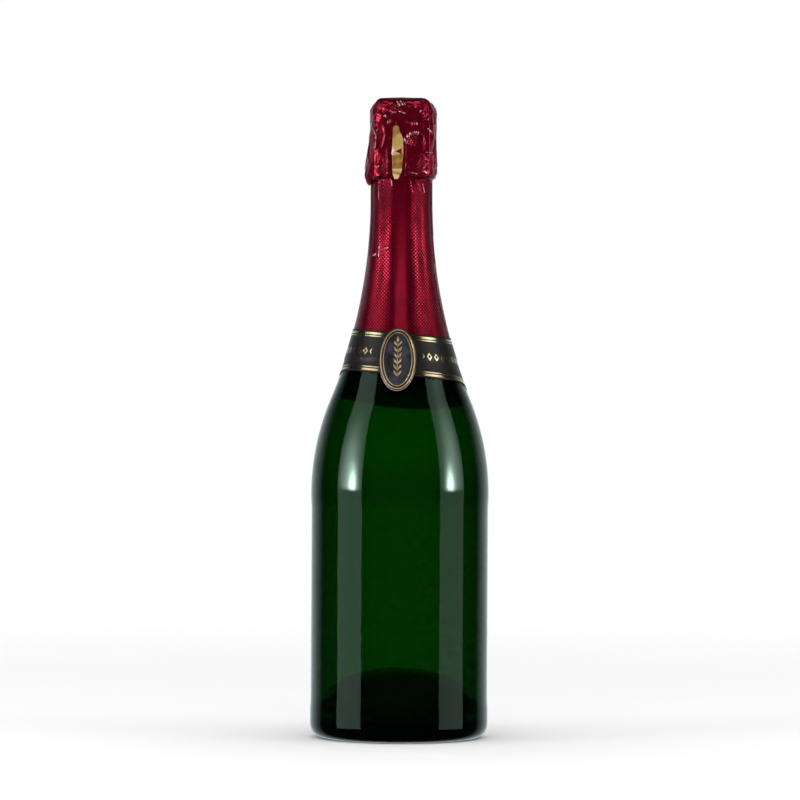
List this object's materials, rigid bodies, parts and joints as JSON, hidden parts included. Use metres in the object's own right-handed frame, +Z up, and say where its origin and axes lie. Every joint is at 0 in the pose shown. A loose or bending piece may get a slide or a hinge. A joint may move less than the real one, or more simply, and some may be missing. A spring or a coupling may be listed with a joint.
{
  "type": "sparkling wine bottle",
  "caption": "Dark green glass bottle of sparkling wine with a mushroom cork, wire cage, red foil capsule with pull tab, and a dark neck label with an oval medallion.",
  "frame": {"origin": "middle of the standing ring, on the surface that the bottle stands on", "axes": "+Z up along the bottle's axis, -Y the front with pull tab and medallion, +X to the right seen from the front"},
  "size_m": [0.0882, 0.0882, 0.3183],
  "materials": {
    "green_glass": "polished dark green bottle glass",
    "wine": "clear pale yellow liquid",
    "agglomerate_cork": "ground cork grain",
    "natural_cork": "natural cork with pores",
    "plaque_metal": "gold lacquered tinplate",
    "cage_wire": "galvanised wire",
    "red_foil": "red lacquered foil, embossed with fine diamonds",
    "gold_foil": "gold lacquered foil with a red arrow",
    "label_paper": "charcoal paper with gold foil lines",
    "medallion_board": "dark board with embossed gold rings"
  },
  "bodies": {
    "bottle": {"glass_bottle": "green_glass", "wine": "wine", "foil_sleeve": "red_foil", "neck_label": "label_paper", "medallion": "medallion_board"},
    "cork": {"cork_body": "agglomerate_cork", "cork_disc_upper": "natural_cork", "cork_disc_lower": "natural_cork"},
    "muselet": {"muselet_plaque": "plaque_metal", "wire_hood": "cage_wire", "belt_wire": "cage_wire"},
    "hood": {"foil_hood": "red_foil"},
    "tab": {"pull_tab": "gold_foil"}
  },
  "joints": [
    {"name": "cork_pull", "type": "slide", "parent": "bottle", "child": "cork", "axis": [0, 0, 1], "range_m": [0, 0.06], "deforming": ["wire_hood", "belt_wire"]},
    {"name": "muselet_lift", "type": "slide", "parent": "cork", "child": "muselet", "axis": [0, 0, 1], "range_m": [0, 0.06], "deforming": ["wire_hood", "belt_wire"]},
    {"name": "hood_lift", "type": "slide", "parent": "muselet", "child": "hood", "axis": [0, 0, 1], "range_m": [0, 0.06]},
    {"name": "tab_peel", "type": "hinge", "parent": "hood", "child": "tab", "pos_m": [-0.0046, -0.0173, 0.2897], "axis": [0, 0, -1], "range_deg": [0, 110]}
  ]
}
